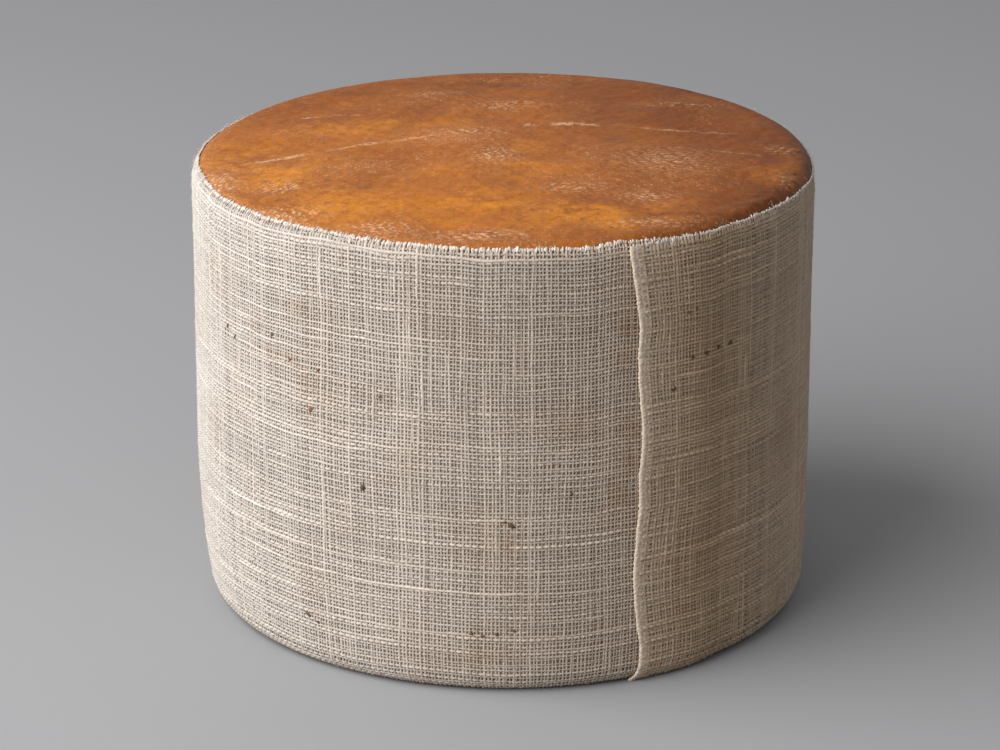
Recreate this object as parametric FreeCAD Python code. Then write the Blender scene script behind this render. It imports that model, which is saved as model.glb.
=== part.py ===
import FreeCAD, Part
import math
import os

# Cloth-bound wheel of blue cheese: one uncut drum of cheese with a waxy rind, and one strip
# of open linen wound once round its side.
# Millimetres, +Z up. The origin is on the resting plane under the middle of the wheel, and
# the side where the strip's cut edge shows faces -Y.

# ---- cheese ----
CHEESE_RADIUS = 83.0        # side of the drum, under the cloth
CHEESE_HEIGHT = 125.0       # resting plane to the crown of the dome
DOME_RISE = 2.4             # crown above the level where the dome would reach the side
SHOULDER_ROUNDING = 3.6     # between the dome and the side
BASE_ROUNDING = 6.5         # between the side and the flat base
FOOT_HEIGHT = 45.0          # below this the side draws in towards the base
FOOT_DRAW = 1.8             # by this much, carried down to the resting plane

# ---- cloth band ----
CLOTH_THICKNESS = 0.8       # both thread layers of the plain weave
CLOTH_CLEARANCE = 0.25      # rind to cloth
LAP_CLEARANCE = 0.1         # inner end of the strip to the outer end that covers it
LAP_EDGE = -65.0            # direction of the cut edge that shows, degrees from +X
LAP_SPAN = 11.0             # the two ends overlap over this many degrees
CLIMB_SPAN = 9.0            # the strip climbs on to its own end over this many degrees
HEM_TURN = 49.0             # the cloth follows the shoulder this far over, degrees
HEM_LIFT = 0.5              # and ends this far above the resting plane, under the rounding

CLIMB_SECTIONS = 5          # cross-sections that shape the climb

CENTRE = FreeCAD.Vector(0, 0, 0)
WHEEL_AXIS = FreeCAD.Vector(0, 0, 1)

# ---- worked out: the cheese's half section is a chain of arcs that meet in tangents ----
foot_arc = (FOOT_HEIGHT ** 2 + FOOT_DRAW ** 2) / (2 * FOOT_DRAW)
dome_arc = (CHEESE_RADIUS ** 2 + DOME_RISE ** 2) / (2 * DOME_RISE)
foot_reach = foot_arc - BASE_ROUNDING
foot_drop = FOOT_HEIGHT - BASE_ROUNDING
dome_reach = dome_arc - SHOULDER_ROUNDING
shoulder_x = CHEESE_RADIUS - SHOULDER_ROUNDING
shoulder_z = CHEESE_HEIGHT - dome_arc + math.sqrt(dome_reach ** 2 - shoulder_x ** 2)
base_x = CHEESE_RADIUS - foot_arc + math.sqrt(foot_reach ** 2 - foot_drop ** 2)
foot_slope = math.degrees(math.asin(foot_drop / foot_reach))
dome_slope = math.degrees(math.asin(shoulder_x / dome_reach))


def on_arc(x, z, radius, turn):
    """Point of an arc in the XZ plane. The turn goes from +X, outwards, towards +Z."""
    angle = math.radians(turn)
    return FreeCAD.Vector(x + radius * math.cos(angle), 0, z + radius * math.sin(angle))


def arc_edge(x, z, radius, start, end):
    """Arc in the XZ plane about (x, z), from one turn to another."""
    turns = (start, (start + end) / 2, end)
    return Part.Arc(*[on_arc(x, z, radius, turn) for turn in turns]).toShape()


def side_edges(offset, start, end):
    """The drum's side, offset outwards, from a turn on its base rounding to one on its shoulder."""
    foot_x = CHEESE_RADIUS - foot_arc
    low = FreeCAD.Vector(CHEESE_RADIUS + offset, 0, FOOT_HEIGHT)
    high = FreeCAD.Vector(CHEESE_RADIUS + offset, 0, shoulder_z)
    return [
        arc_edge(base_x, BASE_ROUNDING, BASE_ROUNDING + offset, start, -foot_slope),
        arc_edge(foot_x, FOOT_HEIGHT, foot_arc + offset, -foot_slope, 0),
        Part.LineSegment(low, high).toShape(),
        arc_edge(shoulder_x, shoulder_z, SHOULDER_ROUNDING + offset, 0, end),
    ]


def line_edge(start, end):
    """Straight edge between two points."""
    return Part.LineSegment(start, end).toShape()


def build_cheese():
    """The whole drum: flat base, roundings, drawn-in foot, upright side and slightly domed top."""
    outline = side_edges(0, -90, 90 - dome_slope)
    outline.append(arc_edge(0, CHEESE_HEIGHT - dome_arc, dome_arc, 90 - dome_slope, 90))
    crown = FreeCAD.Vector(0, 0, CHEESE_HEIGHT)
    base_edge = FreeCAD.Vector(base_x, 0, 0)
    outline += [line_edge(crown, CENTRE), line_edge(CENTRE, base_edge)]
    return Part.Face(Part.Wire(outline)).revolve(CENTRE, WHEEL_AXIS, 360)


def strip_section(lift):
    """Closed outline across the strip, lifted off its first layer by this much."""
    offset = CLOTH_CLEARANCE + lift
    outside = offset + CLOTH_THICKNESS
    start = -math.degrees(math.asin((BASE_ROUNDING - HEM_LIFT) / (BASE_ROUNDING + outside)))
    hems = []
    for x, z, rounding, turn in (
        (base_x, BASE_ROUNDING, BASE_ROUNDING, start),
        (shoulder_x, shoulder_z, SHOULDER_ROUNDING, HEM_TURN),
    ):
        ends = [on_arc(x, z, rounding + reach, turn) for reach in (offset, outside)]
        hems.append(line_edge(*ends))
    base_hem, top_hem = hems
    inner = side_edges(offset, start, HEM_TURN)
    outer = side_edges(outside, start, HEM_TURN)
    return Part.Wire(inner + [top_hem] + outer[::-1] + [base_hem])


def strip_layer(lift, start, span):
    """A stretch of the strip at one lift, from a direction in degrees and over a span."""
    section = Part.Face(strip_section(lift))
    section.rotate(CENTRE, WHEEL_AXIS, start)
    return section.revolve(CENTRE, WHEEL_AXIS, span)


def strip_climb(lift, start, span):
    """The stretch that rises from the first layer to the lift, level at both ends."""
    sections = []
    for i in range(CLIMB_SECTIONS):
        share = i / (CLIMB_SECTIONS - 1)
        section = strip_section(lift * share * share * (3 - 2 * share))
        section.rotate(CENTRE, WHEEL_AXIS, start + span * share)
        sections.append(section)
    return Part.makeLoft(sections, True, False)


def build_cloth_band():
    """The linen strip, wound once round the drum, its outer end lapped over its inner end."""
    lap_lift = CLOTH_THICKNESS + LAP_CLEARANCE
    inner_end = LAP_EDGE + LAP_SPAN
    climb_end = inner_end + CLIMB_SPAN
    lap = strip_layer(lap_lift, LAP_EDGE, LAP_SPAN)
    climb = strip_climb(lap_lift, climb_end, -CLIMB_SPAN)
    first = strip_layer(0, climb_end, 360 - CLIMB_SPAN)
    return first.fuse([climb, lap]).removeSplitter().Solids[0]


os.makedirs("parts", exist_ok=True)
build_cheese().exportStep("parts/cheese.step")
build_cloth_band().exportStep("parts/cloth_band.step")
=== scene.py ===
import math

import bpy
import numpy as np
from bpy.props import FloatProperty, FloatVectorProperty, IntProperty, PointerProperty
from bpy.types import Operator, Panel, PropertyGroup
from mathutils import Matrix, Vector


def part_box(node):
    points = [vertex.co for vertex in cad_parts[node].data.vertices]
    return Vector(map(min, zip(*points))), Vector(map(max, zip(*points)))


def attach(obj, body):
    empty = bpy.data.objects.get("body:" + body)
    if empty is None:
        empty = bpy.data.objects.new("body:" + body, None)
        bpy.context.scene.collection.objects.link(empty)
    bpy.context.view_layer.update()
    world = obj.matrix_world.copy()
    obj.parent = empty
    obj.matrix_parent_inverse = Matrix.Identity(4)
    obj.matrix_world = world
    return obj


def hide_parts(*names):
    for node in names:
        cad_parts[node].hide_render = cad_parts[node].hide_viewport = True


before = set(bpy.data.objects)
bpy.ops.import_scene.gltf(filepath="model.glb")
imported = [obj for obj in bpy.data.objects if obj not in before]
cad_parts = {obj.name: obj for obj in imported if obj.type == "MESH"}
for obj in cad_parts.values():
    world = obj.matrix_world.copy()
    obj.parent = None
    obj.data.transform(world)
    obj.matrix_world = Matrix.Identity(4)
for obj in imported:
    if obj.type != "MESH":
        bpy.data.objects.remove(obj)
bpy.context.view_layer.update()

bl_info = {
    "name": "Cloth-bound Cheese Wheel",
    "version": (1, 0, 0),
    "blender": (4, 5, 0),
    "location": "3D View > Sidebar > Cheese",
    "description": "A waxy drum of cheese in one lapped strip of open linen",
    "category": "Add Mesh",
}

MM = 0.001
TAU = 2 * math.pi
UP = (0, 0, 1)
# Copies in a row stand this far apart, in millimetres, before each is laid on its own.
ROW_STEP = 4
# A flat field of yarns, in millimetres: rise and fall of a yarn, and half its width.
FIELD_CRIMP = 0.25
FIELD_HALF_WIDTH = 0.433

CHEESE_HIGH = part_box("cheese")[1]
CHEESE_RADIUS = CHEESE_HIGH[0]
CHEESE_HEIGHT = CHEESE_HIGH[2]

# Directions on the wheel are degrees from the front, -Y, and count towards +X.


# ---------------------------------------------------------------- settings

def length(name, description, millimetres):
    """A size in metres whose default is written in millimetres."""
    return FloatProperty(name=name, description=description, default=millimetres * MM,
                         unit="LENGTH", precision=5)


def angle(name, description, degrees):
    """An angle whose default is written in degrees."""
    return FloatProperty(name=name, description=description, default=math.radians(degrees),
                         subtype="ANGLE")


def colour(name, description, red, green, blue):
    """A colour whose default is written as it shows on a screen, 0 to 255."""
    linear = [to_linear(c / 255) for c in (red, green, blue)]
    return FloatVectorProperty(name=name, description=description, default=linear,
                               subtype="COLOR", size=3, min=0, max=1)


def to_linear(c):
    """Screen value of one channel as scene light."""
    return c / 12.92 if c <= 0.04045 else ((c + 0.055) / 1.055) ** 2.4


class WheelSettings(PropertyGroup):
    """The drum's outline, and how it departs from a true round."""
    dome_rise: length("Dome rise", "Crown above the level where the dome meets the side", 2.4)
    shoulder: length("Shoulder", "Rounding between top and side", 3.6)
    base_rounding: length("Base rounding", "Rounding between side and base", 6.5)
    foot_height: length("Foot height", "Below this the side draws in", 45)
    foot_draw: length("Foot draw", "Draw of the foot at the resting plane", 1.8)
    foot_even: length("Foot all round", "Extra draw of the foot on every side", 0.3)
    foot_side: length("Foot to the side", "Foot stands out at the right, in at the left", 1.2)
    foot_front: length("Foot to the front", "Foot stands out at the front, in at the back", 0.8)
    belly_left: length("Belly at the left", "The left side stands out at mid-height", 0.5)
    top_tilt: length("Top tilt", "Right rim above, and left rim below, the mean", 0.5)


class RindSettings(PropertyGroup):
    """Relief and colours of the waxy rind."""
    swell: length("Swell", "Broad rise and fall of the top", 0.35)
    dimple: length("Dimples", "Small rise and fall of the top", 0.10)
    scratch_depth: length("Scratch depth", "Depth of the long scratches", 0.12)
    amber: colour("Amber", "Main colour of the rind", 168, 97, 36)
    gold: colour("Gold", "Where the wax is clear", 198, 122, 36)
    russet: colour("Russet", "Where the rind is dry and brown", 138, 76, 34)
    # Umber also paints the shade on the rim at the right, and bloom the painted light on the rim
    # at the left.
    umber: colour("Umber", "Darkest wax, near the rim", 88, 46, 20)
    bloom: colour("Bloom", "Pale dusting on the rind", 178, 118, 74)
    # Painted shade: the rind is multiplied by this at the right and the back, away from the lamp.
    flake: colour("Flakes", "White scuffs and flakes of wax", 226, 192, 160)
    painted_shade_tint: colour("Far side", "Tint of the rind at the right", 212, 200, 188)
    under: colour("Under cloth", "Rind on the side, under the cloth", 120, 84, 52)


class ClothSettings(PropertyGroup):
    """The linen strip: how it is wound, woven and coloured."""
    clearance: length("Clearance", "Rind to cloth", 0.25)
    thickness: length("Thickness", "Both yarn layers of the weave", 0.8)
    lap_clearance: length("Lap clearance", "Inner end to the outer end over it", 0.1)
    lap_edge: angle("Lap edge", "Direction of the cut edge that shows", 25)
    lap_span: angle("Lap span", "The ends overlap over this angle", 11)
    climb_span: angle("Climb span", "The strip climbs on to its own end over this angle", 9)
    hem_turn: angle("Hem turn", "The cloth follows the shoulder this far over", 49)
    hem_lift: length("Hem lift", "Lower hem above the resting plane", 0.5)
    warps: IntProperty(name="Warps", description="Upright yarns, a multiple of six", default=570)
    wefts: IntProperty(name="Wefts", description="Yarns along the strip, a multiple of six",
                       default=120)
    fibres: IntProperty(name="Fibres", description="Loose fibres over the cloth", default=1500)
    yarn_width: length("Yarn width", "Mean width of a yarn", 0.66)
    yarn_thickness: length("Yarn thickness", "Mean thickness of a yarn", 0.30)
    crimp: length("Crimp", "Rise and fall of a yarn over and under the others", 0.105)
    fresh: colour("Fresh yarn", "Most yarns where the cloth is least aged", 198, 190, 181)
    # Partly aged cloth and partly painted shade at the right, away from the lamp.
    aged_and_shaded: colour("Aged yarn", "Most yarns where the cloth is browner, at the right", 184, 164, 143)
    pale: FloatProperty(name="Pale", description="Brightness of the palest yarns", default=1.38)
    dull: FloatProperty(name="Dull", description="Brightness of the dullest yarns", default=0.62)
    hem: colour("Hem", "Loose yarn ends along the upper hem", 214, 202, 190)
    stain: colour("Stain", "Tint where rind colour has soaked in", 216, 168, 112)
    # The backing stands for stained rind seen through the holes: its brown is partly painted shade
    # in the holes, and its paler left end is painted light.
    backing: colour("Backing", "Inner face, seen through the weave", 158, 124, 92)
    backing_painted_light: colour("Backing at the left", "The inner face where the cloth is felted",
                         206, 192, 176)


class StageSettings(PropertyGroup):
    """Floor, lamp, even light and camera."""
    floor: colour("Floor", "Pale grey floor", 157, 157, 159)
    lens: FloatProperty(name="Lens", description="Focal length in millimetres", default=142.8)
    distance: length("Camera distance", "Camera to the wheel's middle", 1092)
    elevation: angle("Camera elevation", "Camera above the wheel's middle", 19.66)
    aim_left: length("Aim left", "The camera looks this far left of the axis", 0.9)
    aim_down: length("Aim down", "and this far below mid-height", 3.7)
    key_turn: angle("Key direction", "Where the large soft lamp stands", -64)
    key_rise: angle("Key elevation", "Lamp above the wheel's middle", 35)
    key_distance: length("Key distance", "Lamp to the wheel's middle", 1200)
    key_size: length("Key size", "Diameter of the lamp", 1700)
    key_power: FloatProperty(name="Key power", description="Watts", default=29)
    fill: FloatProperty(name="Fill", description="Strength of the even light from all round",
                        default=0.38)


SETTINGS = {
    "wheel": WheelSettings,
    "rind": RindSettings,
    "cloth": ClothSettings,
    "stage": StageSettings,
}


def settings(kind):
    """One of the groups above, as set in this file."""
    return getattr(bpy.context.scene, "cheese_" + kind)


# ---------------------------------------------------------------- helpers for objects

def clear_selection():
    """Nothing selected and nothing in edit mode."""
    if bpy.context.object and bpy.context.object.mode != "OBJECT":
        bpy.ops.object.mode_set(mode="OBJECT")
    bpy.ops.object.select_all(action="DESELECT")


def take(name):
    """The object that was just added, under its own name, with its place in its mesh."""
    piece = bpy.context.object
    piece.name = name
    piece.data.name = name
    bpy.ops.object.transform_apply(location=True, rotation=True, scale=True)
    return piece


def apply_modifier(piece, kind, **values):
    """Adds one modifier and applies it."""
    modifier = piece.modifiers.new(kind.title(), kind)
    for key, value in values.items():
        setattr(modifier, key, value)
    bpy.ops.object.modifier_apply(modifier=modifier.name)


def repeat(piece, count, step, merge=False):
    """Repeats the piece in a row and joins the copies into its mesh."""
    apply_modifier(piece, "ARRAY", count=count, use_relative_offset=False,
                   use_constant_offset=True, constant_offset_displace=step,
                   use_merge_vertices=merge, merge_threshold=0.002 * MM)


def points_of(piece):
    """The mesh's points as an array."""
    flat = np.empty(len(piece.data.vertices) * 3)
    piece.data.vertices.foreach_get("co", flat)
    return flat.reshape(-1, 3)


def move_points(piece, points):
    """Gives the mesh new points."""
    piece.data.vertices.foreach_set("co", np.ascontiguousarray(points, float).ravel())
    piece.data.update()


def keep_value(piece, name, values):
    """Stores one number for each point, for the piece's material."""
    layer = piece.data.attributes.new(name, "FLOAT", "POINT")
    layer.data.foreach_set("value", np.asarray(values, float))


def keep_colour(piece, name, values):
    """Stores a colour for each point, for the piece's material."""
    layer = piece.data.color_attributes.new(name, "FLOAT_COLOR", "POINT")
    rgba = np.ones((len(values), 4))
    rgba[:, :3] = values
    layer.data.foreach_set("color", rgba.ravel())


def unroll(piece, across, up):
    """A map of the piece laid flat, so that its baked colours follow the cloth."""
    layer = piece.data.uv_layers.new(name="OFBake")
    corners = np.empty(len(piece.data.loops), int)
    piece.data.loops.foreach_get("vertex_index", corners)
    flat = np.stack([fit_unit(across)[corners], fit_unit(up)[corners]], 1)
    layer.data.foreach_set("uv", flat.ravel())


def fit_unit(values):
    """Values spread over most of 0 to 1."""
    low, high = values.min(), values.max()
    return 0.005 + 0.99 * (values - low) / (high - low)


def face_outwards(piece):
    """Merges doubled points and turns every face outwards."""
    clear_selection()
    bpy.context.view_layer.objects.active = piece
    piece.select_set(True)
    bpy.ops.object.mode_set(mode="EDIT")
    bpy.ops.mesh.select_all(action="SELECT")
    bpy.ops.mesh.remove_doubles(threshold=0.001 * MM)
    bpy.ops.mesh.normals_make_consistent(inside=False)
    bpy.ops.object.mode_set(mode="OBJECT")


def finish_piece(piece, material, node=None):
    """Smooth shading, the material, the body it rides on and the CAD node it stands for."""
    clear_selection()
    bpy.context.view_layer.objects.active = piece
    piece.select_set(True)
    bpy.ops.object.shade_smooth()
    piece.data.materials.clear()
    piece.data.materials.append(material)
    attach(piece, "root")
    if node:
        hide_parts(node)


# ---------------------------------------------------------------- helpers for shapes

def ease(x):
    """Smooth step from 0 to 1."""
    x = np.clip(x, 0, 1)
    return x * x * (3 - 2 * x)


def bump(x, centre, width):
    """Bell round a centre."""
    return np.exp(-((x - centre) / width) ** 2)


def ripple(x, y, wavelength, seed, waves=14):
    """Smooth random relief over a plane, about -1 to 1, with features near one wavelength."""
    random = np.random.default_rng(seed)
    total = 0
    for turn, phase, stretch in random.random((waves, 3)):
        number = TAU / (wavelength * (0.7 + 0.7 * stretch))
        way = TAU * turn
        total = total + np.sin(number * (x * math.cos(way) + y * math.sin(way)) + TAU * phase)
    return total * math.sqrt(2 / waves) * 0.6


def drift(lines, along, knot, seed):
    """Smooth random values along each of many lines, about -1 to 1, one row for a line."""
    random = np.random.default_rng(seed)
    knots = random.normal(size=(lines, int(along / knot) + 3))
    at = np.arange(along) / knot
    low = at.astype(int)
    part = ease(at - low)
    return knots[:, low] * (1 - part) + knots[:, low + 1] * part


class Outline:
    """The drum's outside as one line from the base's rim over side and shoulder to the crown."""

    def __init__(self):
        wheel = settings("wheel")
        base, shoulder = wheel.base_rounding, wheel.shoulder
        self.foot = (wheel.foot_height ** 2 + wheel.foot_draw ** 2) / (2 * wheel.foot_draw)
        self.dome = (CHEESE_RADIUS ** 2 + wheel.dome_rise ** 2) / (2 * wheel.dome_rise)
        foot_drop = wheel.foot_height - base
        dome_reach = self.dome - shoulder
        shoulder_x = CHEESE_RADIUS - shoulder
        shoulder_z = CHEESE_HEIGHT - self.dome + math.sqrt(dome_reach ** 2 - shoulder_x ** 2)
        base_x = CHEESE_RADIUS - self.foot + math.sqrt((self.foot - base) ** 2 - foot_drop ** 2)
        foot_slope = math.asin(foot_drop / (self.foot - base))
        dome_slope = math.asin(shoulder_x / dome_reach)
        right = math.pi / 2
        self.base_rim = base_x
        # Each arc: centre, radius, and the outward direction where it starts and ends.
        self.arcs = (
            (base_x, base, base, -right, -foot_slope),
            (CHEESE_RADIUS - self.foot, wheel.foot_height, self.foot, -foot_slope, 0),
            (shoulder_x, shoulder_z, shoulder, 0, right - dome_slope),
            (0, CHEESE_HEIGHT - self.dome, self.dome, right - dome_slope, right),
        )
        spans = [radius * (end - start) for _, _, radius, start, end in self.arcs]
        self.side_start = spans[0] + spans[1]
        self.side_end = self.side_start + shoulder_z - wheel.foot_height
        self.starts = (0, spans[0], self.side_end, self.side_end + spans[2])
        self.total = self.side_end + spans[2] + spans[3]

    def at(self, along, lift=0):
        """Radius and height this far along the outline and this far off it."""
        along = np.asarray(along, float)
        radius = np.full(along.shape, CHEESE_RADIUS) + lift
        height = settings("wheel").foot_height + along - self.side_start
        ends = (self.starts[1], self.side_start, self.starts[3], np.inf)
        for (x, z, reach, turn, _), start, end in zip(self.arcs, self.starts, ends):
            here = (along >= start) & (along <= end) if start else along <= end
            tilt = turn + (along - start) / reach
            radius = np.where(here, x + (reach + lift) * np.cos(tilt), radius)
            height = np.where(here, z + (reach + lift) * np.sin(tilt), height)
        return radius, height


def on_wheel(outline, turn, along, lift):
    """Points at a direction from the front, a place along the outline and a lift off it."""
    radius, height = outline.at(along, lift)
    return settle(np.stack([radius * np.sin(turn), -radius * np.cos(turn), height], -1))


def settle(points):
    """Points of the true round, moved as the real wheel departs from it."""
    wheel = settings("wheel")
    x, y, z = points[..., 0], points[..., 1], points[..., 2]
    radius = np.hypot(x, y)
    sine = x / np.maximum(radius, MM)
    cosine = -y / np.maximum(radius, MM)
    low = np.clip(1 - z / wheel.foot_height, 0, 1) ** 2
    draw = low * (wheel.foot_side * sine + wheel.foot_front * cosine - wheel.foot_even)
    turn = np.arctan2(sine, cosine)
    sway = 0.12 * MM * (np.sin(3 * turn + 40 * z) + np.sin(5 * turn - 55 * z + 2))
    sway = sway + wheel.belly_left * np.clip(-sine, 0, 1) ** 2 * bump(z, 50 * MM, 35 * MM)
    grow = 1 + (draw + sway * np.clip(z / (20 * MM), 0, 1)) / CHEESE_RADIUS
    high = ease((z - 0.7 * CHEESE_HEIGHT) / (0.3 * CHEESE_HEIGHT))
    lifted = z + high * wheel.top_tilt * x / CHEESE_RADIUS
    return np.stack([x * grow, y * grow, lifted], -1)


# How the upper hem strays from its level, in millimetres, by degrees along the strip: it sits
# low on the end that shows, at the right and behind the crown.
HEM_PLACES = (0, 11, 20, 35, 55, 70, 85, 205, 225, 248, 262, 280, 305, 335, 341, 347, 352, 356,
              360, 364, 371)
HEM_DROPS = (-1.9, -1.5, -1.2, -1.5, -2.7, -2.4, -1.9, -1.9, -0.7, -0.2, 0.2, 0.2, 0.3, 0, -0.3,
             -0.8, -0.8, -0.1, -0.6, -1.2, -1.3)
# How the cut edge strays along the strip, in millimetres, by share of the strip's width.
EDGE_PLACES = (0, 0.02, 0.05, 0.09, 0.135, 0.18, 0.22, 0.27, 0.31, 0.365, 0.41, 0.49, 0.535,
               0.60, 0.65, 0.707, 0.765, 0.82, 0.88, 0.935, 0.99)
EDGE_STRAYS = (-1.0, 0.2, 0.8, 0.8, -0.2, -0.9, -1.35, -1.6, -1.15, -0.8, -0.1, -0.3, 0.5,
               0.6, 0.0, -0.6, -0.75, -0.3, -1.25, -2.3, -3.3)
# The upper hem is pulled in by so many millimetres, from this share of the width over so much.
HEM_PULL = 0.28
HEM_PULL_START = 0.955
HEM_PULL_SPAN = 0.04


class Strip:
    """The wound cloth: where its ends, its hems and its two layers lie."""

    def __init__(self):
        cloth = settings("cloth")
        wheel = settings("wheel")
        self.outline = Outline()
        self.middle = cloth.clearance + cloth.thickness / 2
        self.reach = CHEESE_RADIUS + self.middle
        self.length = self.reach * (TAU + cloth.lap_span)
        outer = wheel.base_rounding + cloth.clearance + cloth.thickness
        turn = math.asin((wheel.base_rounding - cloth.hem_lift) / outer)
        self.base_hem = wheel.base_rounding * (math.pi / 2 - turn)
        self.top_hem = self.outline.side_end + wheel.shoulder * cloth.hem_turn
        self.width = self.top_hem - self.base_hem

    def layer(self, across):
        """How far the strip stands off its first layer, this far from its cut edge."""
        cloth = settings("cloth")
        past = across / self.reach - cloth.lap_span
        return (cloth.thickness + cloth.lap_clearance) * (1 - ease(past / cloth.climb_span))

    def hems(self, across):
        """Lower and upper hem, which wander a little."""
        turn = across / self.reach
        top = 0.18 * np.sin(7 * turn + 2) + 0.12 * np.sin(17 * turn) + 0.08 * np.sin(41 * turn)
        base = 0.35 * np.sin(4 * turn) + 0.2 * np.sin(9 * turn + 1)
        top = top + np.interp(np.degrees(turn), HEM_PLACES, HEM_DROPS)
        return self.base_hem + base * MM, self.top_hem + top * MM

    def edge(self, up):
        """How far the cut edge strays along the strip, by its share of the strip's width."""
        return np.interp(up, EDGE_PLACES, EDGE_STRAYS) * MM

    def lay(self, across, up, lift):
        """Points this far along the strip, at a share of its width, lifted off its middle."""
        base, top = self.hems(across)
        near = np.exp(-np.clip(across, 0, None) / (18 * MM))
        turn = (across + self.edge(up) * near) / self.reach + settings("cloth").lap_edge
        along = base + up * (top - base)
        pull = HEM_PULL * MM * ease((up - HEM_PULL_START) / HEM_PULL_SPAN)
        lift = self.middle + self.layer(across) - pull + lift
        return on_wheel(self.outline, turn, along, lift)


# ---------------------------------------------------------------- helpers for materials

def new_material(name, roughness, **sockets):
    """A material with its surface shader, and plain numbers set on the shader itself."""
    material = bpy.data.materials.new(name)
    material.use_nodes = True
    tree = material.node_tree
    surface = tree.nodes["Principled BSDF"]
    surface.inputs["Roughness"].default_value = roughness
    for key, value in sockets.items():
        surface.inputs[key.replace("_", " ")].default_value = value
    return material, tree, surface


def add_node(tree, kind, values=None, **choices):
    """A shader node with its choices made and its inputs linked or set."""
    node = tree.nodes.new("ShaderNode" + kind)
    for key, value in choices.items():
        setattr(node, key, value)
    for key, value in (values or {}).items():
        if isinstance(value, bpy.types.NodeSocket):
            tree.links.new(value, node.inputs[key])
        else:
            node.inputs[key].default_value = value
    return node


def noise(tree, place, scale, detail=3.0, roughness=0.55, distortion=0.0):
    """Noise about 0 to 1, its scale in features to the metre."""
    node = add_node(tree, "TexNoise", {"Vector": place, "Scale": scale, "Detail": detail,
                                       "Roughness": roughness, "Distortion": distortion})
    return node.outputs["Fac"]


def window(tree, value, low, high, top=1.0):
    """Nothing below one value, and the most above the other, eased between."""
    node = add_node(tree, "MapRange", {"Value": value, "From Min": low, "From Max": high,
                                       "To Max": top}, interpolation_type="SMOOTHSTEP")
    return node.outputs["Result"]


def times(tree, first, second):
    """Product of two values."""
    node = add_node(tree, "Math", {0: first, 1: second}, operation="MULTIPLY")
    return node.outputs[0]


def plus(tree, first, second):
    """Sum of two values, held between 0 and 1."""
    node = add_node(tree, "Math", {0: first, 1: second}, operation="ADD", use_clamp=True)
    return node.outputs[0]


def blend(tree, amount, first, second, way="MIX"):
    """Two colours mixed by an amount."""
    node = add_node(tree, "Mix", data_type="RGBA", blend_type=way)
    sockets = (("Factor_Float", amount), ("A_Color", first), ("B_Color", second))
    for identifier, value in sockets:
        socket = next(s for s in node.inputs if s.identifier == identifier)
        if isinstance(value, bpy.types.NodeSocket):
            tree.links.new(value, socket)
        elif identifier == "Factor_Float":
            socket.default_value = value
        else:
            socket.default_value = (*value[:3], 1)
    return next(s for s in node.outputs if s.identifier == "Result_Color")


def shifted(tree, place, scale, reach):
    """A place moved about by noise, for ragged outlines."""
    wander = add_node(tree, "TexNoise", {"Vector": place, "Scale": scale, "Detail": 3.0})
    off = add_node(tree, "VectorMath", {0: wander.outputs["Color"], 1: (0.5, 0.5, 0.5)},
                   operation="SUBTRACT").outputs[0]
    node = add_node(tree, "VectorMath", {0: off, 1: (reach, reach, reach), 2: place},
                    operation="MULTIPLY_ADD")
    return node.outputs[0]


def specks(tree, place, scale, radius, some):
    """Small dots in some of the cells of a scatter, their radius a share of a cell."""
    cells = add_node(tree, "TexVoronoi", {"Vector": place, "Scale": scale})
    chance = add_node(tree, "SeparateXYZ", {"Vector": cells.outputs["Color"]}).outputs["X"]
    dot = window(tree, cells.outputs["Distance"], radius, 0.55 * radius)
    return times(tree, dot, window(tree, chance, 1 - some, 1.02 - some))


def brightness(tree, value, low, high, **window_ends):
    """A neutral tint that runs from one brightness to another as a value goes up."""
    values = {"Value": value, "To Min": low, "To Max": high}
    for key, end in window_ends.items():
        values[key.replace("_", " ")] = end
    tone = add_node(tree, "MapRange", values).outputs["Result"]
    return add_node(tree, "CombineXYZ", {"X": tone, "Y": tone, "Z": tone}).outputs["Vector"]


def stored(tree, name, output="Fac"):
    """A value or colour that the piece keeps at its points."""
    return add_node(tree, "Attribute", attribute_name=name).outputs[output]


# ---------------------------------------------------------------- the rind

RIND_SIDES = 640
# Marks on the top are placed by direction, in degrees from the front, and share of the radius.
# Long scratches: where each begins, where it ends, and its width in millimetres.
SCRATCHES = (
    (-80, 0.85, -120, 0.25, 0.7),
    (165, 0.25, 125, 0.40, 0.9),
    (120, 0.45, 100, 0.85, 0.5),
    (-120, 0.80, -130, 0.60, 0.4),
    (90, 0.55, 85, 0.85, 0.3),
)
# Patches of short scuffs: place, then half length and half width in millimetres.
SCUFFS = (
    (-15, 0.10, 5, 7), (-140, 0.20, 9, 4), (180, 0.50, 9, 4), (-160, 0.70, 7, 3),
    (-5, 0.90, 12, 3), (-25, 0.90, 9, 4), (-45, 0.95, 10, 6), (-60, 0.80, 6, 5),
    (-70, 0.95, 4, 9), (30, 0.90, 10, 3), (40, 0.70, 7, 4), (25, 0.50, 7, 4),
    (70, 0.95, 3, 6), (90, 0.90, 5, 4), (75, 0.55, 12, 10), (130, 0.80, 11, 3),
)


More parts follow.
